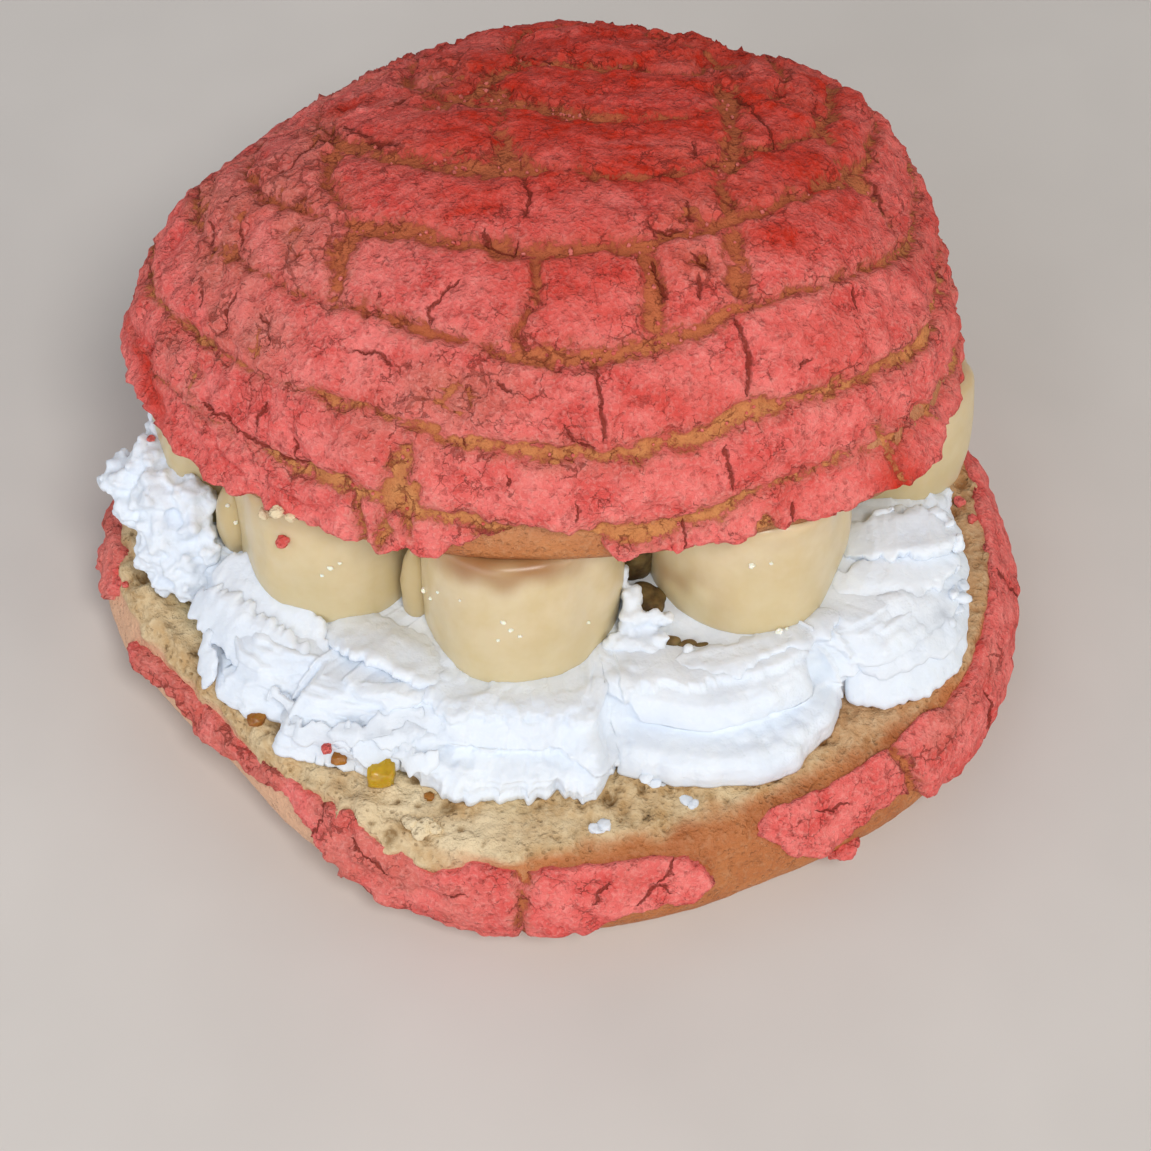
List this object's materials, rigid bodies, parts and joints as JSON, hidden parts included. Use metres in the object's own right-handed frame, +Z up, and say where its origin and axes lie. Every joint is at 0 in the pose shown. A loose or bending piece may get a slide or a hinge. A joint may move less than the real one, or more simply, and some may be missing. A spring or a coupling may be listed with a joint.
{
  "type": "filled concha",
  "caption": "Round sweet bun with a scored pink sugar crust, cut in half and filled with whipped cream and thick banana slices; rests on its flat base.",
  "frame": {"origin": "middle of the flat base that the lower half rests on", "axes": "+Z up, -Y towards the front where the filling shows most, +X to the right seen from the front"},
  "size_m": [0.1225, 0.1201, 0.0739],
  "materials": {
    "bread": "soft golden crust and pale porous crumb",
    "sugar_crust": "dry, crumbly, cracked",
    "cream": "stiff whipped, satin",
    "banana": "moist, slightly translucent"
  },
  "bodies": {
    "root": {"bottom_bun": "bread", "bottom_topping": "sugar_crust", "whipped_cream": "cream", "banana_slice_1": "banana", "banana_slice_2": "banana", "banana_slice_3": "banana", "banana_slice_4": "banana", "banana_slice_5": "banana", "banana_slice_6": "banana", "banana_slice_7": "banana", "banana_slice_8": "banana", "banana_slice_9": "banana", "top_bun": "bread", "top_topping": "sugar_crust"}
  },
  "joints": []
}
